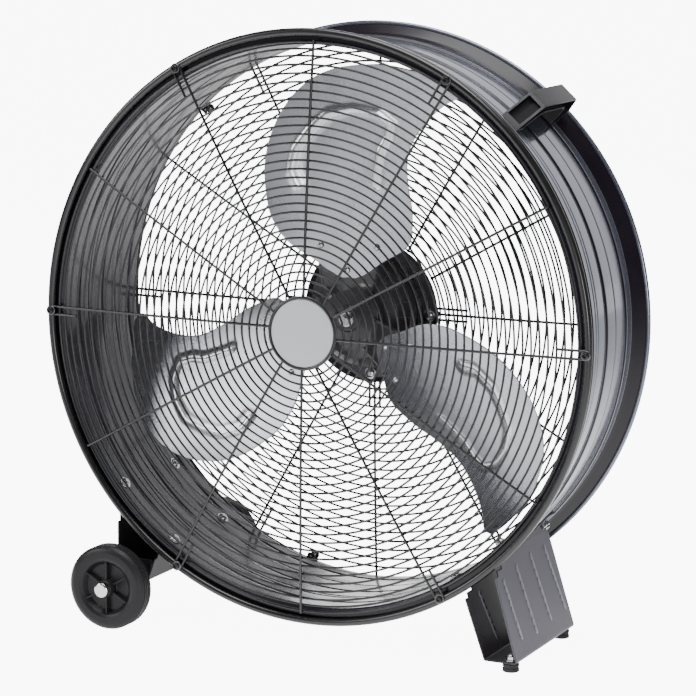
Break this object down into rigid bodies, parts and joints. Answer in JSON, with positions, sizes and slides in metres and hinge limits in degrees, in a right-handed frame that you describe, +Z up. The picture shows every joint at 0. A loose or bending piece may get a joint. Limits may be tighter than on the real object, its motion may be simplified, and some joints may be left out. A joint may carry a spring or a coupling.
{
  "type": "drum fan",
  "caption": "Wheeled drum fan: beaded steel drum between wire grilles, pressed aluminium blades, strap handle, axle bracket with wheels and a bracket on rubber feet.",
  "frame": {"origin": "on the floor, below the middle of the fan, halfway between the outer ends of the two axle caps", "axes": "+Z up; the fan axis runs along Y and the front grille faces -Y; +X is to the right seen from the front, wheels at -X and rubber feet at +X"},
  "size_m": [0.82, 0.3892, 0.85],
  "materials": {
    "drum_paint": "gloss charcoal powder coat",
    "black_paint": "gloss black powder coat",
    "bracket_paint": "gloss charcoal powder coat",
    "black_wire": "satin black powder-coated wire",
    "badge_bezel": "gloss black plastic ring",
    "badge_grey": "satin silver-grey, plain",
    "handle_plastic": "fine-grained moulded plastic",
    "aluminium_sheet": "bright mill-finish sheet",
    "zinc_plate": "bright zinc plate",
    "wheel_plastic": "semi-gloss moulded plastic",
    "foot_rubber": "matt black rubber",
    "motor_paint": "satin black paint",
    "winding_copper": "enamelled copper wire",
    "laminated_steel": "stacked steel laminations",
    "switch_plastic": "fine-grained moulded plastic"
  },
  "bodies": {
    "frame": {"drum_shell": "drum_paint", "wheel_bracket": "black_paint", "foot_bracket": "bracket_paint", "front_grille": "black_wire", "rear_grille": "black_wire", "badge_bezel": "badge_bezel", "badge_disc": "badge_grey", "handle": "handle_plastic", "front_grille_screw_1": "zinc_plate", "front_grille_screw_2": "zinc_plate", "front_grille_screw_3": "zinc_plate", "front_grille_screw_4": "zinc_plate", "front_grille_screw_5": "zinc_plate", "front_grille_screw_6": "zinc_plate", "rear_grille_screw_1": "zinc_plate", "rear_grille_screw_2": "zinc_plate", "rear_grille_screw_3": "zinc_plate", "rear_grille_screw_4": "zinc_plate", "rear_grille_screw_5": "zinc_plate", "rear_grille_screw_6": "zinc_plate", "motor_mount_bolt_1": "zinc_plate", "motor_mount_bolt_2": "zinc_plate", "motor_mount_bolt_3": "zinc_plate", "motor_mount_bolt_4": "zinc_plate", "foot_bracket_bolt_1": "zinc_plate", "foot_bracket_bolt_2": "zinc_plate", "foot_bracket_bolt_3": "zinc_plate", "foot_bracket_bolt_4": "zinc_plate", "wheel_bracket_bolt_1": "zinc_plate", "wheel_bracket_bolt_2": "zinc_plate", "wheel_bracket_bolt_3": "zinc_plate", "wheel_bracket_bolt_4": "zinc_plate", "handle_screw_1": "zinc_plate", "handle_screw_2": "zinc_plate", "foot_bolt_front": "zinc_plate", "foot_bolt_rear": "zinc_plate", "wheel_axle": "zinc_plate", "axle_cap_front": "zinc_plate", "axle_cap_rear": "zinc_plate", "bearing_front": "zinc_plate", "bearing_rear": "zinc_plate", "rubber_foot_front": "foot_rubber", "rubber_foot_rear": "foot_rubber", "motor_front_housing": "motor_paint", "motor_rear_housing": "motor_paint", "stator_winding_front": "winding_copper", "stator_winding_rear": "winding_copper", "stator_core": "laminated_steel", "switch_box": "switch_plastic", "cable_gland": "switch_plastic"},
    "rotor": {"motor_shaft": "zinc_plate", "rotor_core": "laminated_steel", "blade_spider": "black_paint", "blade_1": "aluminium_sheet", "blade_2": "aluminium_sheet", "blade_3": "aluminium_sheet", "hub_nut": "zinc_plate"},
    "front_wheel_body": {"front_wheel": "wheel_plastic"},
    "rear_wheel_body": {"rear_wheel": "wheel_plastic"},
    "knob": {"speed_knob": "switch_plastic"}
  },
  "joints": [
    {"name": "fan_spin", "type": "hinge", "parent": "frame", "child": "rotor", "pos_m": [0, 0, 0.44], "axis": [0, 1, 0], "continuous": true},
    {"name": "front_wheel_spin", "type": "hinge", "parent": "frame", "child": "front_wheel_body", "pos_m": [-0.288, 0, 0.06], "axis": [0, 1, 0], "continuous": true},
    {"name": "rear_wheel_spin", "type": "hinge", "parent": "frame", "child": "rear_wheel_body", "pos_m": [-0.288, 0, 0.06], "axis": [0, 1, 0], "continuous": true},
    {"name": "speed_knob_turn", "type": "hinge", "parent": "frame", "child": "knob", "pos_m": [0, 0.13, 0.44], "axis": [0, 1, 0], "range_deg": [0, 135]}
  ]
}
